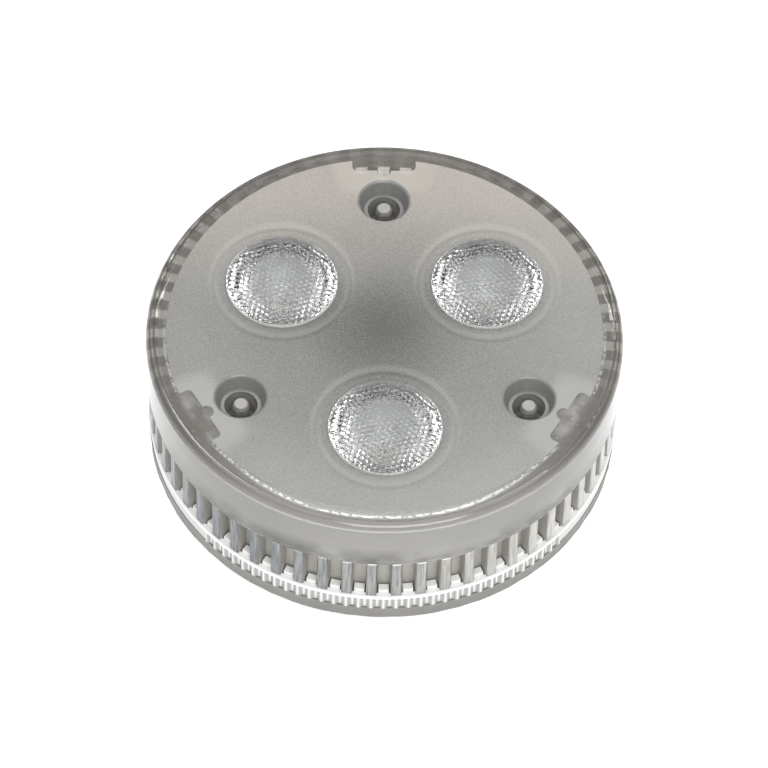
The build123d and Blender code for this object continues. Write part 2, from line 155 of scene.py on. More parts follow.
class Finish:
    """A Principled material and the few node steps that all the finishes use."""

    def __init__(self, name, colour, roughness, **values):
        self.material = bpy.data.materials.new(name)
        self.material.use_nodes = True
        self.tree = self.material.node_tree
        self.shader = self.tree.nodes["Principled BSDF"]
        self.shader.inputs["Base Color"].default_value = (*colour, 1)
        self.shader.inputs["Roughness"].default_value = roughness
        for socket, value in values.items():
            self.shader.inputs[socket.replace("_", " ")].default_value = value
        self.place = self.node("ShaderNodeTexCoord").outputs["Object"]

    def node(self, kind, **settings):
        made = self.tree.nodes.new(kind)
        for key, value in settings.items():
            setattr(made, key, value)
        return made

    def join(self, a, b):
        self.tree.links.new(a, b)

    def noise(self, size, detail=3.0, stretch=(1, 1, 1)):
        """Noise with features of about the given size, stretched along an axis if asked."""
        mapping = self.node("ShaderNodeMapping")
        mapping.inputs["Scale"].default_value = stretch
        self.join(self.place, mapping.inputs["Vector"])
        texture = self.node("ShaderNodeTexNoise")
        texture.inputs["Scale"].default_value = 1 / size
        texture.inputs["Detail"].default_value = detail
        self.join(mapping.outputs["Vector"], texture.inputs["Vector"])
        return texture.outputs["Fac"]

    def spread(self, value, low, high, start=0.0, end=1.0):
        """A value from start to end, carried over to low to high."""
        step = self.node("ShaderNodeMapRange")
        limits = {"From Min": start, "From Max": end, "To Min": low, "To Max": high}
        for socket, number in limits.items():
            step.inputs[socket].default_value = number
        self.join(value, step.inputs["Value"])
        return step.outputs["Result"]

    def math(self, operation, a, b=0.0):
        """One step of arithmetic on sockets or numbers."""
        step = self.node("ShaderNodeMath", operation=operation)
        for socket, value in zip(step.inputs, (a, b)):
            if isinstance(value, (int, float)):
                socket.default_value = value
            else:
                self.join(value, socket)
        return step.outputs["Value"]

    def blend(self, factor, dark, light):
        """A colour between two tones, each a colour or a socket."""
        mix = self.node("ShaderNodeMix", data_type="RGBA")
        for socket, tone in ((mix.inputs[MIX_DARK], dark), (mix.inputs[MIX_LIGHT], light)):
            if isinstance(tone, bpy.types.NodeSocket):
                self.join(tone, socket)
            else:
                socket.default_value = (*tone, 1)
        self.join(factor, mix.inputs["Factor"])
        return mix.outputs[MIX_RESULT]

    def tint(self, factor, dark, light):
        """Base colour between two tones."""
        self.join(self.blend(factor, dark, light), self.shader.inputs["Base Color"])

    def rough(self, value):
        self.join(value, self.shader.inputs["Roughness"])

    def mirror(self, value):
        self.join(value, self.shader.inputs["Metallic"])

    def bump(self, height, depth, strength):
        bump = self.node("ShaderNodeBump")
        bump.inputs["Strength"].default_value = strength
        bump.inputs["Distance"].default_value = depth
        self.join(height, bump.inputs["Height"])
        self.join(bump.outputs["Normal"], self.shader.inputs["Normal"])

    def axes(self):
        """X, Y and Z of a point."""
        split = self.node("ShaderNodeSeparateXYZ")
        self.join(self.place, split.inputs["Vector"])
        return split.outputs

    def around(self, crests):
        """A wave with so many crests on its way round the lamp."""
        x, y = self.axes()[:2]
        angle = self.math("ARCTAN2", y, x)
        return self.math("SINE", self.math("MULTIPLY", angle, float(crests)))

    def beside_screws(self):
        """From -1 between the screws to 1 on the lines through them."""
        return self.math("MULTIPLY", self.around(len(screw_angles)), -1.0)

    def reach(self, points):
        """Distance to the nearest of several upright axes."""
        x, y = self.axes()[:2]
        nearest = BEYOND_LAMP
        for point in points:
            dx = self.math("SUBTRACT", x, point.x)
            dy = self.math("SUBTRACT", y, point.y)
            square = self.math("ADD", self.math("MULTIPLY", dx, dx), self.math("MULTIPLY", dy, dy))
            nearest = self.math("MINIMUM", self.math("SQRT", square), nearest)
        return nearest

    def radius(self):
        """Distance from the lamp's axis."""
        return self.reach([Vector((0, 0, 0))])

    def line(self, distance, middle, half_width):
        """1 where a distance is close to its middle value, fading to 0 on both sides."""
        off = self.math("ABSOLUTE", self.math("SUBTRACT", distance, middle))
        return self.spread(off, 1.0, 0.0, half_width / 4, half_width)


# %% [markdown]
# ## The cover
# The cover is one moulding of smoky clear polycarbonate. The mould is polished for the rim and for the
# notches beside the screws, spark-eroded over the front field, and stoned on the inside, so that light
# scatters there and comes back grey. Light that has run through the plastic leaves it along the edges.
# The finishes paint this light, and the shade beside it, as tones: a sparkling painted highlight round
# the field in front, a painted pale band, painted light and dark lines round the dishes and on the
# fillet, and the ribs of the heat sink painted as they show through the rim at the sides and the back.

# %% Sizes of the cover
cover_ior = 1.58
cover_wall = 1.9 * MM
cover_plate = 1.6 * MM
pad_thickness = 0.6 * MM
clear_ring = 3.2 * MM
field_radius = lamp_radius - clear_ring
rim_fillet = 1.3 * MM
dish_depth = 0.3 * MM
dish_line_radius = 10.9 * MM
dish_line_shift = Vector((0, 0.4 * MM, 0))
boss_radius = 4.5 * MM


# %% Clear and hazy plastic
def polished_skin():
    clear = (0.97, 0.965, 0.955)
    finish = Finish("polished_polycarbonate", clear, 0.1, IOR=cover_ior, Transmission_Weight=1.0)
    finish.rough(finish.spread(finish.noise(3 * MM), 0.06, 0.12))
    finish.bump(finish.noise(0.5 * MM, detail=2.0), 0.004 * MM, strength=0.5)
    return finish.material


def hazy_window():
    finish = Finish("hazy_window", (0.6, 0.59, 0.57), 0.25, IOR=cover_ior, Transmission_Weight=0.35)
    finish.tint(finish.noise(3 * MM), (0.45, 0.44, 0.42), (0.8, 0.785, 0.755))
    finish.rough(finish.spread(finish.noise(1 * MM), 0.18, 0.32))
    return finish.material


def hazy_rim():
    finish = Finish("hazy_rim", (0.55, 0.54, 0.515), 0.4, IOR=cover_ior, Transmission_Weight=0.4)
    finish.tint(finish.noise(4 * MM), (0.48, 0.47, 0.445), (0.6, 0.59, 0.565))
    finish.rough(finish.spread(finish.noise(1 * MM), 0.32, 0.48))
    return finish.material


# %% Top of the rim, with its lines of light
def painted_field_glint(finish, line_radius):
    """A painted highlight: the sparkling line round the field, left out in the notches and at the back.
    """
    y = finish.axes()["Y"]
    sparkle = finish.spread(finish.noise(0.6 * MM, detail=0.0), 0.15, 1.0, 0.4, 0.55)
    edge = finish.math("MULTIPLY", finish.line(finish.radius(), line_radius, 0.35 * MM), sparkle)
    edge = finish.math("MULTIPLY", edge, finish.math("LESS_THAN", finish.beside_screws(), 0.88))
    return finish.math("MULTIPLY", edge, finish.spread(y, 1.0, 0.0, -8 * MM, 8 * MM))


def painted_pale_band(finish, line_radius, front):
    """Painted light: a pale band beyond the line in front, and pale patches inside it on the front half.
    """
    y = finish.axes()["Y"]
    radius = finish.radius()
    beyond = finish.math("SUBTRACT", radius, line_radius)
    band = finish.math("MULTIPLY", front, finish.spread(beyond, 1.0, 0.3, 0.2 * MM, 0.6 * MM))
    inside = finish.spread(radius, 0.7, 0.0, field_radius - 0.3 * MM, field_radius + 0.6 * MM)
    patches = finish.spread(finish.noise(2.5 * MM), 0.15, 1.0, 0.4, 0.65)
    inside = finish.math("MULTIPLY", inside, patches)
    inside = finish.math("MULTIPLY", inside, finish.math("LESS_THAN", y, 0.0))
    return finish.math("MAXIMUM", band, inside)


def painted_ribs_behind(finish):
    """The heat sink's ribs painted as light and dark stripes, seen through the rim at the sides and the
    back.
    """
    x, y = finish.axes()[:2]
    ribs = finish.spread(finish.around(rib_count), 0.0, 0.75, -0.1, 0.3)
    sides = finish.spread(finish.math("ABSOLUTE", x), 0.15, 1.0, 20 * MM, 33 * MM)
    ribs = finish.math("MULTIPLY", ribs, sides)
    return finish.math("MULTIPLY", ribs, finish.spread(y, 0.0, 1.0, -14 * MM, -2 * MM))


def painted_fillet_shade(finish):
    """Two painted dark lines where the fillet bends the light away."""
    radius = finish.radius()
    start = finish.line(radius, lamp_radius - rim_fillet, 0.3 * MM)
    middle = finish.line(radius, lamp_radius - rim_fillet / 2, 0.22 * MM)
    return finish.math("MAXIMUM", start, middle)


def hazy_top_painted_light():
    smoke = (0.3, 0.28, 0.255)
    finish = Finish("hazy_rim_top_painted_light", smoke, 0.1, IOR=cover_ior, Transmission_Weight=0.72)
    y, z = finish.axes()[1:]
    front = finish.spread(y, 1.0, 0.0, -31 * MM, -20 * MM)
    outer_radius = field_radius + 1.2 * MM
    line_radius = finish.spread(y, outer_radius, field_radius + 0.25 * MM, -33.5 * MM, -26 * MM)
    # Painted light and shade: the ribs as seen through the rim, under the painted pale band.
    behind = finish.blend(painted_ribs_behind(finish), (0.25, 0.232, 0.209), (0.72, 0.69, 0.64))
    haze = finish.blend(painted_pale_band(finish, line_radius, front), behind, (0.8, 0.795, 0.775))
    # Painted shade: the dark fillet lines, fainter in front.
    dark = finish.math("MULTIPLY", painted_fillet_shade(finish), finish.spread(front, 0.8, 0.4))
    haze = finish.blend(dark, haze, (0.1, 0.09, 0.08))
    # A painted highlight: the sparkling line round the field, white and partly metallic so that it
    # glints.
    edge = painted_field_glint(finish, line_radius)
    finish.mirror(finish.math("MULTIPLY", edge, finish.spread(front, 0.0, 0.55)))
    # A painted highlight: a thin white line low on the fillet in front, a painted reflection of the
    # table.
    foot = finish.math("MULTIPLY", front, finish.line(z, front_z - rim_fillet + 0.1 * MM, 0.2 * MM))
    finish.tint(finish.math("MAXIMUM", edge, foot), haze, (1.0, 0.995, 0.98))
    finish.rough(finish.spread(finish.noise(3 * MM), 0.06, 0.12))
    finish.bump(finish.noise(0.7 * MM, detail=2.0), 0.01 * MM, strength=0.6)
    return finish.material


# %% Field and dishes
def etched_field_painted_light():
    """Painted shade and light: darkest in the middle, lighter towards the rim, the back and the notches.
    """
    finish = Finish("etched_field_painted_light", (0.33, 0.325, 0.31), 0.5, IOR=cover_ior, Transmission_Weight=0.25)
    x, y = finish.axes()[:2]
    radius = finish.radius()
    axes = [polar(lens_pitch_radius, a) for a in lens_angles]
    # Painted light and shade round each dish: a lit line towards the back, a dark one towards the front.
    lit = finish.reach([a + dish_line_shift for a in axes])
    dark = finish.reach([a - dish_line_shift for a in axes])
    notch = finish.spread(finish.beside_screws(), 0.0, 0.55, 0.7, 0.92)
    grain = finish.noise(0.22 * MM, detail=1.0)
    # Painted shade in the middle and painted light towards the rim, back, front edge, right and notches.
    tone = finish.spread(radius, 0.0, 0.46, 1 * MM, 14 * MM)
    for part in (
        finish.spread(radius, 0.0, 0.2, 14 * MM, 31 * MM),
        finish.spread(y, 0.0, 0.2, 4 * MM, 24 * MM),
        finish.spread(y, 0.16, 0.0, -32 * MM, -16 * MM),
        finish.spread(x, -0.05, 0.06, -28 * MM, 28 * MM),
        finish.spread(finish.line(lit, dish_line_radius, 1.0 * MM), 0.0, 0.22),
        finish.spread(finish.line(dark, dish_line_radius, 0.5 * MM), 0.0, -0.2),
        finish.math("MULTIPLY", notch, finish.spread(radius, 0.0, 1.0, 27.5 * MM, 30 * MM)),
        finish.spread(finish.noise(14 * MM, detail=1.0), -0.1, 0.1),
        finish.spread(grain, -0.5, 0.5),
    ):
        tone = finish.math("ADD", tone, part)
    # Painted sheen: the field turns lighter and warmer towards the back.
    back = finish.spread(y, 0.0, 1.0, 6 * MM, 26 * MM)
    light = finish.blend(back, (0.375, 0.374, 0.354), (0.455, 0.422, 0.38))
    finish.tint(tone, (0.085, 0.084, 0.079), light)
    finish.rough(finish.spread(grain, 0.42, 0.6))
    finish.bump(grain, 0.05 * MM, strength=0.8)
    return finish.material


def dish_ring():
    tone = (0.36, 0.35, 0.335)
    finish = Finish("satin_dish_ring", tone, 0.3, IOR=cover_ior, Transmission_Weight=0.25)
    finish.tint(finish.noise(5 * MM), (0.22, 0.216, 0.205), (0.28, 0.275, 0.262))
    finish.rough(finish.spread(finish.noise(1.5 * MM), 0.25, 0.38))
    return finish.material


# %% Inside and wells
def frosted_inside():
    """Grey, with painted shade at the sides and in patches low on the skirt, where the ribs lie behind
    it.
    """
    tone = (0.46, 0.455, 0.435)
    finish = Finish("frosted_inside", tone, 0.55, IOR=cover_ior, Transmission_Weight=0.2)
    point = finish.axes()
    grain = finish.noise(0.4 * MM, detail=3.0)
    # Painted shadows of the ribs: soft dark patches, low on the skirt only.
    painted_rib_shade = finish.spread(finish.noise(6 * MM, detail=2.0), 0.0, 0.85, 0.38, 0.56)
    low = finish.spread(point["Z"], 1.0, 0.0, skirt_z + 1.2 * MM, skirt_z + 3.6 * MM)
    # Painted shade: the frosted wall is darker towards the sides.
    side = finish.spread(finish.math("ABSOLUTE", point["X"]), 0.0, 0.85, 8 * MM, 34 * MM)
    frost = finish.math("SUBTRACT", finish.spread(grain, 0.85, 1.0), side)
    wall = finish.blend(frost, (0.22, 0.216, 0.204), (0.50, 0.493, 0.473))
    finish.tint(finish.math("MULTIPLY", painted_rib_shade, low), wall, (0.12, 0.111, 0.098))
    finish.rough(finish.spread(grain, 0.45, 0.65))
    return finish.material


def step_painted_light():
    # Painted light: the step walls are near white, for light leaving the plastic along its edges.
    finish = Finish("step_painted_light", (0.92, 0.91, 0.89), 0.4, IOR=cover_ior, Transmission_Weight=0.1)
    finish.tint(finish.noise(0.5 * MM), (0.7, 0.69, 0.67), (0.96, 0.955, 0.94))
    finish.rough(finish.spread(finish.noise(0.4 * MM), 0.25, 0.5))
    return finish.material


def well_wall():
    """Painted light and shade: dark near the front and pale deep down, where light comes through."""
    tone = (0.26, 0.26, 0.25)
    finish = Finish("satin_well_wall", tone, 0.35, IOR=cover_ior, Transmission_Weight=0.1)
    z = finish.axes()["Z"]
    # Painted light deep in the well, painted shade near its mouth.
    deep = finish.spread(z, 1.0, 0.0, front_z - 4.5 * MM, front_z - 2.6 * MM)
    wall = finish.blend(deep, (0.22, 0.22, 0.209), (0.7, 0.69, 0.66))
    finish.tint(finish.noise(1.2 * MM), (0.16, 0.16, 0.153), wall)
    finish.rough(finish.spread(finish.noise(0.6 * MM), 0.28, 0.45))
    return finish.material


# %% [markdown]
# A copy of the solid's mesh keeps every well, notch and fillet. Its loose triangles are merged first,
# two cuts bound the clear window behind the back screw, and each face takes its finish from where it
# lies.

# %% Zones of the cover
SKIN, HAZE, FIELD, INSIDE, WINDOW, RIM, STEP, DISH, WELL = range(9)
TOLERANCE = 0.02 * MM
FACING = 0.9
LEANING = 0.7
field_etch = 0.05 * MM
well_mouth_radius = 4.0 * MM
well_lip = 0.6 * MM
well_step_depth = 2.45 * MM
window_half_angle = 9.5
window_drop = 4.3 * MM
window_low = 6.8 * MM


def merged_copy(node):
    """A solid's mesh with its loose triangles joined."""
    bm = bmesh.new()
    bm.from_mesh(nodes[node].data)
    bmesh.ops.remove_doubles(bm, verts=bm.verts, dist=SAME_POINT)
    return bm


def nearest(middle, pitch_radius, angles):
    """Distance from a point to the nearest of several axes."""
    return min((middle - polar(pitch_radius, a)).xy.length for a in angles)


def beside_screw(middle):
    """Whether a point lies in one of the clear sectors at the screws."""
    angle = math.degrees(math.atan2(middle.y, middle.x))
    return min(abs((angle - a + 180) % 360 - 180) for a in screw_angles) < window_half_angle


def well_zone(face, depth, reach):
    """Lip and step of a well take the lighter dish finish as painted light; its walls are darker."""
    lip = depth < well_lip + field_etch and reach > well_mouth_radius - TOLERANCE
    step = face.normal.z > FACING and depth < well_step_depth + TOLERANCE
    return DISH if lip or step else WELL


def cover_zone(face):
    """Which finish a face of the cover takes."""
    middle = face.calc_center_median()
    radius = middle.xy.length
    depth = front_z - middle.z
    reach = nearest(middle, screw_pitch_radius, screw_angles)
    if reach < boss_radius + well_lip and depth > field_etch + TOLERANCE:
        return well_zone(face, depth, reach)
    if depth < field_etch - TOLERANCE or radius > lamp_radius - cover_wall + TOLERANCE:
        return HAZE if depth < rim_fillet else SKIN
    if depth < field_etch + TOLERANCE:
        return FIELD
    if depth < dish_depth + TOLERANCE:
        return FIELD if face.normal.z > LEANING else DISH
    if abs(depth - cover_plate) < TOLERANCE:
        clear = SKIN if middle.y > 0 else WINDOW
        return RIM if radius > field_radius and not beside_screw(middle) else clear
    if radius > lamp_radius - cover_wall - TOLERANCE:
        at_window = middle.y > 0 and beside_screw(middle) and window_drop < depth < window_low
        return SKIN if at_window else INSIDE
    return STEP if depth < cover_plate + pad_thickness - TOLERANCE else INSIDE


# %% Cover mesh
bm = merged_copy("front_cover")
for drop in (window_drop, window_low):
    everything = bm.verts[:] + bm.edges[:] + bm.faces[:]
    cut_at = (0, 0, front_z - drop)
    bmesh.ops.bisect_plane(
        bm, geom=everything, plane_co=cut_at, plane_no=(0, 0, 1), dist=TOLERANCE / 10,
    )
for face in bm.faces:
    face.material_index = cover_zone(face)
cover = place_piece("cover_moulding", bm, polished_skin(), "front_cover", outward=False)
for finish in (
    hazy_top_painted_light(), etched_field_painted_light(), frosted_inside(), hazy_window(), hazy_rim(), step_painted_light(), dish_ring(),
    well_wall(),
):
    cover.data.materials.append(finish)

# %% [markdown]
# ## The lenses
# Each lens is a clear collimator. Its face carries a honeycomb of tiny domes that blurs the chip into
# an even beam. The face starts as a grid whose points fall on the honeycomb's centres, each point is
# sunk by its distance from the nearest centre, and the rim is pulled out to a circle. The flank below
# is extruded from that rim, ring by ring, down to the pocket over the chip.

# %% Lens finishes
CLEAR, GROUND = range(2)
lens_ior = 1.49


def lens_finish():
    finish = Finish("clear_acrylic", (0.98, 0.985, 0.985), 0.02, IOR=lens_ior, Transmission_Weight=1.0)
    haze = finish.noise(1.5 * MM, detail=2.0)
    finish.rough(finish.spread(haze, 0.01, 0.05))
    return finish.material


def ground_edge():
    tone = (0.62, 0.61, 0.59)
    finish = Finish("ground_lens_edge", tone, 0.45, IOR=lens_ior, Transmission_Weight=0.5)
    finish.tint(finish.noise(0.6 * MM), (0.5, 0.49, 0.475), (0.72, 0.71, 0.69))
    finish.rough(finish.spread(finish.noise(0.4 * MM), 0.35, 0.55))
    return finish.material


# %% Honeycomb face and flank
lens_turns = (12, 21, 16)
cell_pitch = 0.88 * MM
cell_sink = 0.19 * MM
points_per_cell = 8
lens_nose_radius = 8.85 * MM
lens_edge_ease = 0.12 * MM
lens_flange_radius = 10.0 * MM
lens_flange = 1.2 * MM
lens_foot_radius = 4.6 * MM
lens_bulge = 0.9 * MM
pocket_radius = 3.1 * MM
pocket_height = 3.4 * MM
flank_steps = 10


def cell_depth(x, y):
    """How far a point lies below the tops of the domes."""
    row_step = cell_pitch * math.sqrt(3) / 2
    reach = cell_pitch
    row = math.floor(y / row_step)
    for j in (row, row + 1):
        shift = cell_pitch / 2 * (j % 2)
        column = round((x - shift) / cell_pitch)
        reach = min(reach, math.hypot(x - shift - column * cell_pitch, y - j * row_step))
    return cell_sink * min(1.0, (reach / (cell_pitch / math.sqrt(3))) ** 2)


def pull_ring(bm, edges, radius, z):
    """Extrudes a ring of edges to a new radius and height."""
    made = bmesh.ops.extrude_edge_only(bm, edges=edges)["geom"]
    ring = [e for e in made if isinstance(e, bmesh.types.BMEdge) and all(v in made for v in e.verts)]
    for v in {v for e in ring for v in e.verts}:
        direction = Vector((v.co.x, v.co.y, 0)).normalized()
        v.co = direction * radius + Vector((0, 0, z))
    return ring


def flank_section(top_z, foot_z):
    """The curved flank, from the flange down to the foot."""
    start = Vector((lens_nose_radius, top_z))
    end = Vector((lens_foot_radius, foot_z))
    pull = (start + end) / 2 + Vector((lens_bulge, -lens_bulge))
    for i in range(flank_steps + 1):
        t = i / flank_steps
        yield start * (1 - t) ** 2 + pull * 2 * t * (1 - t) + end * t ** 2


def honeycomb_disc(radius, top_z):
    """A grid on the honeycomb's centres, cut to a disc and sunk between the domes."""
    step_x = cell_pitch / points_per_cell
    step_y = cell_pitch * math.sqrt(3) / 2 / points_per_cell
    half_x = math.ceil(radius / step_x)
    half_y = math.ceil(radius / step_y)
    bm = bmesh.new()
    bmesh.ops.create_grid(bm, x_segments=2 * half_x, y_segments=2 * half_y, size=1.0)
    bmesh.ops.scale(bm, verts=bm.verts, vec=(half_x * step_x, half_y * step_y, 1))
    outside = [f for f in bm.faces if max(v.co.xy.length for v in f.verts) > radius]
    bmesh.ops.delete(bm, geom=outside, context="FACES")
    rim = [e for e in bm.edges if e.is_boundary]
    rim_verts = {v for e in rim for v in e.verts}
    for v in bm.verts:
        v.co.z = top_z - cell_depth(v.co.x, v.co.y)
        if v in rim_verts:
            v.co = v.co.xy.normalized().to_3d() * radius + Vector((0, 0, top_z - cell_sink / 2))
    return bm, rim


def lens_mesh(box):
    """A lens about its own axis, at the heights of its solid."""
    low, high = box
    bm, rim = honeycomb_disc(lens_nose_radius - lens_edge_ease, high.z)
    flange_z = front_z - cover_plate - pad_thickness
    flange_low = flange_z - lens_flange
    section = [
        (lens_nose_radius, high.z - cell_sink / 2 - lens_edge_ease),
        (lens_nose_radius, front_z - dish_depth),
        (lens_nose_radius, flange_z),
        (lens_flange_radius, flange_z),
        (lens_flange_radius, flange_low),
        *flank_section(flange_low, low.z),
        (pocket_radius, low.z),
        (pocket_radius, low.z + pocket_height),
        (0.0, low.z + pocket_height),
    ]
    for radius, z in section:
        rim = pull_ring(bm, rim, radius, z)
    for face in bm.faces:
        middle = face.calc_center_median()
        on_edge = middle.xy.length > lens_nose_radius - lens_edge_ease and middle.z > flange_z
        face.material_index = GROUND if on_edge else CLEAR
    return bm


clear_acrylic = lens_finish()
ground_acrylic = ground_edge()
for number, (degrees, turned) in enumerate(zip(lens_angles, lens_turns), start=1):
    bm = lens_mesh(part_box(f"lens_{number}"))
    turn_by = Matrix.Rotation(math.radians(turned), 3, "Z")
    bmesh.ops.rotate(bm, verts=bm.verts, cent=(0, 0, 0), matrix=turn_by)
    bmesh.ops.translate(bm, verts=bm.verts, vec=polar(lens_pitch_radius, degrees))
    lens = place_piece(f"honeycomb_lens_{number}", bm, clear_acrylic, f"lens_{number}")
    lens.data.materials.append(ground_acrylic)

# %% [markdown]
# ## The heat sink
# A cast aluminium cup with sixty ribs. The ribs are what shows, so each is a bar with eased edges that
# catch a thin line of light, and above the drum it steps in and stands free inside the cover. One bar
# of each kind is made, eased and repeated round the drum. The drum itself is turned from its section.
# The faces of the ribs are turned bright, with painted light that leaves them darker on the left and
# lighter on the right. Their sides and the drum keep the sandy skin of the casting, and the cutter
# leaves a shining slope on top, whose near-white colour is a painted highlight.

# %% Heat sink finishes
CAST, CUT = 1, 2


def turned_aluminium():
    finish = Finish("turned_aluminium", (0.45, 0.45, 0.44), 0.3, Metallic=1.0)
    x = finish.axes()["X"]
    drawn = finish.noise(0.25 * MM, detail=3.0, stretch=(1, 1, 0.06))
    streak = finish.spread(drawn, 0.0, 1.0, 0.35, 0.65)
    # Painted light: darker faces on the left, lighter on the right; the streaks are the metal's own.
    right = finish.spread(x, 0.0, 1.0, -20 * MM, 24 * MM)
    dark = finish.blend(right, (0.11, 0.118, 0.125), (0.3, 0.296, 0.28))
    light = finish.blend(right, (0.24, 0.25, 0.255), (0.5, 0.494, 0.47))
    finish.tint(streak, dark, light)
    finish.rough(finish.spread(drawn, 0.22, 0.42))
    finish.bump(drawn, 0.02 * MM, strength=0.6)
    return finish.material


def sandy_wall():
    finish = Finish("sandy_cast_wall", (0.6, 0.585, 0.55), 0.5, Metallic=0.3)
    cast = finish.noise(1.5 * MM, stretch=(1, 1, 0.3))
    finish.tint(cast, (0.30, 0.29, 0.266), (0.43, 0.419, 0.386))
    finish.rough(finish.spread(finish.noise(0.6 * MM), 0.42, 0.6))
    return finish.material


def cut_edge():
    # The cut slope shines a little more than the casting, and its near-white colour is a painted
    # highlight.
    finish = Finish("cut_edge_painted_highlight", (0.9, 0.9, 0.88), 0.25, Metallic=0.4)
    finish.tint(finish.noise(0.5 * MM), (0.86, 0.86, 0.84), (0.97, 0.97, 0.95))
    finish.rough(finish.spread(finish.noise(0.4 * MM), 0.2, 0.35))
    return finish.material


# %% Bars round the axis
def eased_bar(inner, outer, width, low, high, ease):
    """A bar along X whose outer face has eased edges."""
    bm = bmesh.new()
    bmesh.ops.create_cube(bm, size=1.0)
    bmesh.ops.scale(bm, verts=bm.verts, vec=(outer - inner, width, high - low))
    bmesh.ops.translate(bm, verts=bm.verts, vec=((inner + outer) / 2, 0, (low + high) / 2))
    edges = [e for e in bm.edges if all(v.co.x > (inner + outer) / 2 for v in e.verts)]
    bmesh.ops.bevel(bm, geom=edges, offset=ease, segments=2, profile=0.5, affect="EDGES", material=-1)
    return bm


def slope_top(bm, outer, high, drop):
    """Leans the top outer edge of a bar in by as much as it drops."""
    for v in bm.verts:
        over = v.co.x - outer + v.co.z - high + drop
        if over > 0:
            v.co.x -= over / 2
            v.co.z -= over / 2


def repeat_round(bm, bar, count, first=0.0):
    """Adds copies of a bar round the lamp's axis."""
    one = bpy.data.meshes.new("one_bar")
    bar.to_mesh(one)
    bar.free()
    for i in range(count):
        before = len(bm.verts)
        bm.from_mesh(one)
        bm.verts.ensure_lookup_table()
        turn_by = Matrix.Rotation(math.tau * (i + first) / count, 3, "Z")
        bmesh.ops.rotate(bm, verts=bm.verts[before:], cent=(0, 0, 0), matrix=turn_by)
    bpy.data.meshes.remove(one)


# %% Drum and ribs
SLOPING = 0.5
rib_width = 1.66 * MM
rib_radius = lamp_radius - 0.3 * MM
rib_depth = 2.1 * MM
drum_radius = rib_radius - rib_depth
drum_wall = 2.2 * MM
room_radius = drum_radius - drum_wall
drum_rise = 3.0 * MM
fin_radius = lamp_radius - cover_wall - 0.2 * MM
plate_lift = 1.6 * MM
plate_thickness = 3.0 * MM
wire_hole_radius = 3.1 * MM
rib_ease = 0.2 * MM
rib_top_break = 0.35 * MM
drum_steps = 240


def heat_sink_mesh():
    """The drum with its plate, the ribs outside and the fins that stand free above them."""
    fin_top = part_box("heat_sink")[1].z
    drum_top = skirt_z + drum_rise
    plate_low = rib_z + plate_lift
    plate_high = plate_low + plate_thickness
    section = (
        (drum_radius, rib_z),
        (drum_radius, drum_top),
        (room_radius, drum_top),
        (room_radius, plate_high),
        (wire_hole_radius, plate_high),
        (wire_hole_radius, plate_low),
        (room_radius, plate_low),
        (room_radius, rib_z),
    )
    bm = bmesh.new()
    turn(bm, section, drum_steps)
    for face in bm.faces:
        face.material_index = CAST
    inner = drum_radius - drum_wall / 2
    rib = eased_bar(inner, rib_radius, rib_width, rib_z, skirt_z, rib_ease)
    slope_top(rib, rib_radius, skirt_z, rib_top_break)
    rib.normal_update()
    for face in rib.faces:
        if abs(face.normal.y) > FACING:
            face.material_index = CAST
        elif face.normal.x > SLOPING and face.normal.z > SLOPING:
            face.material_index = CUT
    repeat_round(bm, rib, rib_count, first=0.5)
    fin = eased_bar(inner, fin_radius, rib_width, skirt_z - rib_ease, fin_top, rib_ease / 2)
    repeat_round(bm, fin, rib_count, first=0.5)
    return bm


bm = heat_sink_mesh()
heat_sink = place_piece("ribbed_heat_sink", bm, turned_aluminium(), "heat_sink")
heat_sink.data.materials.append(sandy_wall())
heat_sink.data.materials.append(cut_edge())

# %% [markdown]
# ## The knurled ring
# A glossy white ring with a wavy edge for the fingers in front and behind, and a smooth edge at the
# sides. Its outline is a circle of many points, each moved in or out by a cosine, then raised to a
# wall. A smooth lip closes it above, and a tooth stands in each gap between two ribs.

# %% Ring finish
ridge_count = 120
ridge_height = 0.4 * MM
lip_height = 0.5 * MM
knurl_reach = math.radians(48)
knurl_y = lamp_radius * math.cos(knurl_reach)


def white_gloss():
    """White with painted shade: grey on ridge flanks and smooth sides, dark in creases beside the teeth.
    """
    finish = Finish("glossy_white_plastic", (0.93, 0.93, 0.92), 0.12, IOR=1.5)
    x, y, z = finish.axes()
    # Painted shade on the flanks of the ridges, which lean away from the light, and on the smooth sides.
    slope = finish.math("ABSOLUTE", finish.around(ridge_count))
    knurled = finish.math("GREATER_THAN", finish.math("ABSOLUTE", y), knurl_y)
    plain = finish.spread(knurled, 0.65, 0.0)
    ridged = finish.math("MULTIPLY", finish.math("POWER", slope, 0.6), knurled)
    flank = finish.math("ADD", ridged, plain)
    flank = finish.math("MULTIPLY", flank, finish.math("LESS_THAN", z, rib_z - lip_height))
    # Painted shade: dark creases beside the teeth, between the ribs.
    angle = finish.math("ARCTAN2", y, x)
    beside = finish.math("COSINE", finish.math("MULTIPLY", angle, rib_count))
    beside = finish.math("LESS_THAN", finish.math("ABSOLUTE", beside), 0.22)
    crease = finish.math("MULTIPLY", beside, finish.math("GREATER_THAN", z, rib_z - TOLERANCE))
    inside = finish.math("LESS_THAN", finish.radius(), rib_radius - 0.6 * MM)
    crease = finish.math("MULTIPLY", crease, inside)
    white = finish.blend(crease, (0.8, 0.8, 0.79), (0.1, 0.1, 0.095))
    finish.tint(flank, white, (0.27, 0.27, 0.262))
    finish.rough(finish.spread(finish.noise(1.2 * MM), 0.08, 0.2))
    return finish.material


# %% Ring mesh
points_per_ridge = 10
spigot_radius = room_radius - 0.2 * MM
spigot_rise = 1.0 * MM
ring_bore_radius = spigot_radius - 1.3 * MM
rebate_radius = 35.6 * MM
rebate_depth = 1.2 * MM
tooth_fit = 0.2 * MM
tooth_depth = 1.2 * MM
tooth_height = 0.6 * MM


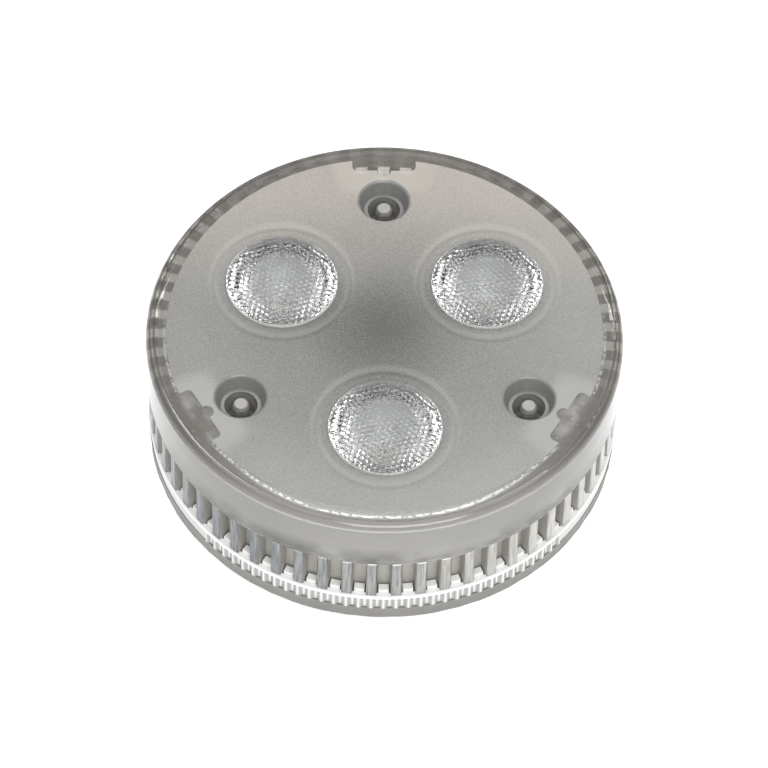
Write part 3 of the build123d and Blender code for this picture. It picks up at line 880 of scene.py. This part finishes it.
def ring_mesh():
    """The wavy wall, the lip and spigot above it, the rebate below and the teeth."""
    bm = bmesh.new()
    lip_z = rib_z - lip_height
    bmesh.ops.create_circle(bm, segments=ridge_count * points_per_ridge, radius=lamp_radius)
    for v in bm.verts:
        wave = (1 - math.cos(ridge_count * math.atan2(v.co.y, v.co.x))) / 2
        if abs(v.co.y) < knurl_y:
            wave = 0.5
        v.co *= 1 - wave * ridge_height / lamp_radius
        v.co.z = ring_z
    wall = bmesh.ops.extrude_edge_only(bm, edges=bm.edges[:])["geom"]
    rim = [v for v in wall if isinstance(v, bmesh.types.BMVert)]
    bmesh.ops.translate(bm, verts=rim, vec=(0, 0, lip_z - ring_z))
    open_edges = [e for e in bm.edges if e.is_boundary]
    low_edges = [e for e in open_edges if all(v.co.z < ring_z + TOLERANCE for v in e.verts)]
    top_edges = [e for e in open_edges if e not in low_edges]
    ease = lip_height / 4
    for radius, z in (
        (lamp_radius - TOLERANCE, lip_z), (lamp_radius, lip_z + ease), (lamp_radius, rib_z - ease),
        (lamp_radius - ease, rib_z), (spigot_radius, rib_z), (spigot_radius, rib_z + spigot_rise),
        (ring_bore_radius, rib_z + spigot_rise),
    ):
        top_edges = pull_ring(bm, top_edges, radius, z)
    rebate_z = ring_z + rebate_depth
    for radius, z in ((rebate_radius, ring_z), (rebate_radius, rebate_z), (ring_bore_radius, rebate_z)):
        low_edges = pull_ring(bm, low_edges, radius, z)
    bmesh.ops.bridge_loops(bm, edges=low_edges + top_edges)
    inner = drum_radius + tooth_fit
    tooth_width = math.tau * drum_radius / rib_count - rib_width - 2 * tooth_fit
    tooth = eased_bar(inner, inner + tooth_depth, tooth_width, rib_z - ease, rib_z + tooth_height, ease)
    repeat_round(bm, tooth, rib_count)
    return bm


place_piece("knurled_lock_ring", ring_mesh(), white_gloss(), "knurled_ring")

# %% [markdown]
# ## The base
# A satin grey moulding. A merged copy of its solid keeps the hub and the screw recesses. The band under
# the ring is drawn out a little fuller and straighter, and its lower edge is rounded.

# %% Base finish
def satin_grey():
    finish = Finish("satin_grey_plastic", (0.30, 0.29, 0.27), 0.45, IOR=1.5)
    finish.tint(finish.noise(4 * MM, detail=4.0), (0.14, 0.137, 0.128), (0.19, 0.186, 0.174))
    finish.rough(finish.spread(finish.noise(0.8 * MM), 0.38, 0.55))
    finish.bump(finish.noise(0.3 * MM), 0.01 * MM, strength=0.5)
    return finish.material


# %% Base mesh
band_inset = 0.6 * MM
band_taper = 0.3 * MM
band_swell = 0.5 * MM
band_straighten = 0.2 * MM
band_round = 1.0 * MM


def base_mesh():
    """The base with a fuller band and a round lower edge."""
    bm = merged_copy("base_cup")
    band_radius = lamp_radius - band_inset - band_taper
    band = [v for v in bm.verts if v.co.xy.length > band_radius - TOLERANCE]
    low_z = min(v.co.z for v in band)
    low = {v for v in band if v.co.z < low_z + TOLERANCE}
    for v in band:
        swell = band_swell + band_straighten if v in low else band_swell
        v.co.xy += v.co.xy.normalized() * swell
    edges = [e for e in bm.edges if all(v in low for v in e.verts)]
    bmesh.ops.bevel(
        bm, geom=edges, offset=band_round, segments=4, profile=0.5, affect="EDGES", material=-1,
    )
    return bm


place_piece("grey_base", base_mesh(), satin_grey(), "base_cup", outward=False)

# %% [markdown]
# ## The case screws
# Three long thread-forming screws hold the lamp together, and their tips stand in the wells. A shank is
# a circle raised ring by ring. Each point is then moved in or out by where it lies on the thread's
# helix. The round head is pulled from the lowest ring.

# %% Screw finish and mesh
screw_radius = 1.35 * MM
screw_tip_drop = 2.0 * MM
screw_tip_ease = 0.35 * MM
screw_head_radius = 2.6 * MM
screw_head_height = 1.9 * MM
thread_pitch = 0.8 * MM
thread_depth = 0.2 * MM
rings_per_turn = 6
points_per_screw = 32


def plated_steel():
    finish = Finish("plated_steel", (0.42, 0.41, 0.39), 0.45, Metallic=0.3)
    finish.tint(finish.noise(0.5 * MM), (0.26, 0.252, 0.237), (0.36, 0.349, 0.33))
    finish.rough(finish.spread(finish.noise(0.3 * MM), 0.38, 0.55))
    return finish.material


def thread_height(angle, z):
    """From 0 in the thread's groove to 1 on its crest."""
    place = (z / thread_pitch - angle / math.tau) % 1.0
    return abs(2 * place - 1)


def screw_mesh(head_z, tip_z):
    """A threaded shank with its tip and its round head."""
    seat_z = head_z + screw_head_height
    bm = bmesh.new()
    bmesh.ops.create_circle(bm, segments=points_per_screw, radius=screw_radius)
    bmesh.ops.translate(bm, verts=bm.verts, vec=(0, 0, seat_z))
    foot = bm.edges[:]
    ring = foot
    thread_top = tip_z - screw_tip_ease
    count = round((thread_top - seat_z) / thread_pitch * rings_per_turn)
    for i in range(1, count + 1):
        ring = pull_ring(bm, ring, screw_radius, seat_z + (thread_top - seat_z) * i / count)
    for v in bm.verts:
        sink = thread_depth * (1 - thread_height(math.atan2(v.co.y, v.co.x), v.co.z))
        v.co.xy *= 1 - sink / screw_radius
    for radius, z in ((screw_radius - screw_tip_ease, tip_z), (0.0, tip_z)):
        ring = pull_ring(bm, ring, radius, z)
    ease = screw_head_height / 3
    for radius, z in (
        (screw_head_radius, seat_z),
        (screw_head_radius, head_z + ease),
        (screw_head_radius - ease / 3, head_z + ease / 3),
        (screw_head_radius - ease, head_z),
        (0.0, head_z),
    ):
        foot = pull_ring(bm, foot, radius, z)
    return bm


head_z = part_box("case_screws")[0].z
bm = bmesh.new()
for degrees in screw_angles:
    one = screw_mesh(head_z, front_z - screw_tip_drop)
    bmesh.ops.translate(one, verts=one.verts, vec=polar(screw_pitch_radius, degrees))
    mesh = bpy.data.meshes.new("one_screw")
    one.to_mesh(mesh)
    one.free()
    bm.from_mesh(mesh)
    bpy.data.meshes.remove(mesh)
place_piece("threaded_case_screws", bm, plated_steel(), "case_screws")

# %% [markdown]
# ## Finishes for the other pieces
# The smaller pieces take their colours from the record, each with a little variation. The holders and
# the domes show through the lenses, so these two are given their own finishes.

# %% Finishes from the record
METALS = ("aluminium", "brass", "chrome", "brushed_steel")


def record_finish(slot):
    wanted = next(m for m in frame["record"]["materials"] if m["slot"] == slot)
    colour = wanted["base_color"][:3]
    metal = 1.0 if wanted["class"] in METALS else 0.0
    finish = Finish(slot, colour, 0.4, Metallic=metal)
    finish.tint(finish.noise(2 * MM), [c * 0.85 for c in colour], [min(1.0, c * 1.08) for c in colour])
    finish.rough(finish.spread(finish.noise(0.7 * MM), 0.3, 0.5))
    return finish.material


def moulded_grey():
    finish = Finish("moulded_grey_holder", (0.5, 0.515, 0.53), 0.4)
    finish.tint(finish.noise(2 * MM), (0.6, 0.61, 0.615), (0.72, 0.728, 0.732))
    finish.rough(finish.spread(finish.noise(0.7 * MM), 0.3, 0.5))
    return finish.material


def clear_silicone():
    finish = Finish("clear_silicone_dome", (0.56, 0.56, 0.53), 0.15, IOR=1.41)
    finish.tint(finish.noise(0.8 * MM), (0.4, 0.4, 0.38), (0.55, 0.55, 0.52))
    finish.rough(finish.spread(finish.noise(0.5 * MM), 0.1, 0.25))
    return finish.material


lens_numbers = range(1, len(lens_angles) + 1)
shaped = {"front_cover", "heat_sink", "knurled_ring", "base_cup", "case_screws"}
shaped |= {f"lens_{number}" for number in lens_numbers}
slots = {part["node"]: part["material_slot"] for part in frame["record"]["subparts"]}
finishes = {"holder_grey": moulded_grey(), "dome_clear": clear_silicone()}
for node, slot in slots.items():
    if node not in shaped and slot not in finishes:
        finishes[slot] = record_finish(slot)
print("finishes for the other pieces:", len(finishes))

# %% [markdown]
# ## Round pieces that show
# The pins at the back, and the holders and emitters that show through the lenses, are round. Merged
# copies of their solids shade smoothly where loose triangles would show facets.

# %% Smooth copies
round_pieces = ["contact_pin_1", "contact_pin_2"]
for number in lens_numbers:
    round_pieces += [f"lens_holder_{number}", f"led_emitter_{number}", f"led_dome_{number}"]
for node in round_pieces:
    slot = slots[node]
    place_piece(f"smooth_{node}", merged_copy(node), finishes[slot], node, outward=False)

# %% [markdown]
# ## Pieces inside
# The board, the driver and the leads are hidden by the frosted cover and the base. Their solids stay.

# %% Finishes for the solids that stay
kept = [node for node in slots if node not in shaped and node not in round_pieces]
for node in kept:
    mesh = nodes[node].data
    mesh.materials.clear()
    mesh.materials.append(finishes[slots[node]])
print("solids that stay:", len(kept))

# %% [markdown]
# ## Floor, light and camera
# The lamp stands on a white table that glows a little, as a lit product table does, so its shadow stays
# faint. A pale world fills from all sides, a strip behind the lamp draws the shine on its front, and a
# box in front lights the ribs and the ring.

# %% Floor
def lit_table():
    finish = Finish("lit_white_table", (0.9, 0.9, 0.9), 0.6)
    finish.shader.inputs["Emission Color"].default_value = (1, 1, 1, 1)
    finish.shader.inputs["Emission Strength"].default_value = 0.45
    return finish.material


table_reach = 3.0
bm = bmesh.new()
bmesh.ops.create_grid(bm, x_segments=1, y_segments=1, size=table_reach)
mesh = bpy.data.meshes.new("table_top")
bm.to_mesh(mesh)
bm.free()
mesh.materials.append(lit_table())
table_top = bpy.data.objects.new("table_top", mesh)
bpy.context.scene.collection.objects.link(table_top)

# %% Lights
def overhead_glow(horizon, zenith):
    """A pale room that grows brighter towards the ceiling."""
    world = bpy.data.worlds.new("pale_room")
    world.use_nodes = True
    tree = world.node_tree
    direction = tree.nodes.new("ShaderNodeTexCoord")
    split = tree.nodes.new("ShaderNodeSeparateXYZ")
    rise = tree.nodes.new("ShaderNodeMapRange")
    rise.inputs["To Min"].default_value = horizon
    rise.inputs["To Max"].default_value = zenith
    tree.links.new(direction.outputs["Generated"], split.inputs["Vector"])
    tree.links.new(split.outputs["Z"], rise.inputs["Value"])
    tree.links.new(rise.outputs["Result"], tree.nodes["Background"].inputs["Strength"])
    tree.nodes["Background"].inputs["Color"].default_value = (1, 1, 1, 1)
    return world


bpy.context.scene.world = overhead_glow(horizon=0.5, zenith=1.0)


def soft_box(name, where, size, power):
    """A soft rectangle of light, aimed at the middle of the lamp."""
    light = bpy.data.lights.new(name, "AREA")
    light.shape = "RECTANGLE"
    light.size, light.size_y = size
    light.energy = power
    box = bpy.data.objects.new(name, light)
    box.location = where
    aim = Vector((0, 0, front_z / 2)) - Vector(where)
    box.rotation_euler = aim.to_track_quat("-Z", "Y").to_euler()
    bpy.context.scene.collection.objects.link(box)


soft_box("back_strip", where=(0.0, 0.42, 0.85), size=(0.6, 0.12), power=2.0)
soft_box("front_box", where=(0.1, -0.6, 0.65), size=(0.6, 0.5), power=5.0)

# %% Camera
view_distance = 0.700
view_elevation = math.radians(53.4)
view_turn = math.radians(1.6)
view_roll = math.radians(1.7)
picture_width = 768
focal_pixels = 4464.0
face_pixel = (384.8, 330.0)
sensor_width = 36.0

face_centre = Vector((0, 0, front_z))
level = math.cos(view_elevation)
towards = Vector((-math.sin(view_turn) * level, -math.cos(view_turn) * level, math.sin(view_elevation)))
level_right = (-towards).cross(Vector((0, 0, 1))).normalized()
level_up = level_right.cross(-towards)
picture_right = level_right * math.cos(view_roll) + level_up * math.sin(view_roll)
picture_up = level_up * math.cos(view_roll) - level_right * math.sin(view_roll)
pixel = view_distance / focal_pixels
aim = face_centre - picture_right * (face_pixel[0] - picture_width / 2) * pixel
aim -= picture_up * (picture_width / 2 - face_pixel[1]) * pixel
eye = face_centre + towards * view_distance
back = (eye - aim).normalized()
right = picture_up.cross(back).normalized()
up = back.cross(right)

camera_data = bpy.data.cameras.new("portrait_camera")
camera_data.sensor_width = sensor_width
camera_data.lens = focal_pixels / picture_width * sensor_width
camera_data.clip_start = 0.05
camera = bpy.data.objects.new("portrait_camera", camera_data)
camera.matrix_world = Matrix.Translation(eye) @ Matrix((right, up, back)).transposed().to_4x4()
bpy.context.scene.collection.objects.link(camera)
bpy.context.scene.camera = camera
print("lens", round(camera_data.lens, 1), "mm")

# %% Picture settings
scene = bpy.context.scene
scene.view_settings.view_transform = "Standard"
scene.view_settings.look = "None"
scene.cycles.max_bounces = 24
scene.cycles.transmission_bounces = 20
scene.cycles.transparent_max_bounces = 16
scene.cycles.glossy_bounces = 8
scene.cycles.use_denoising = True
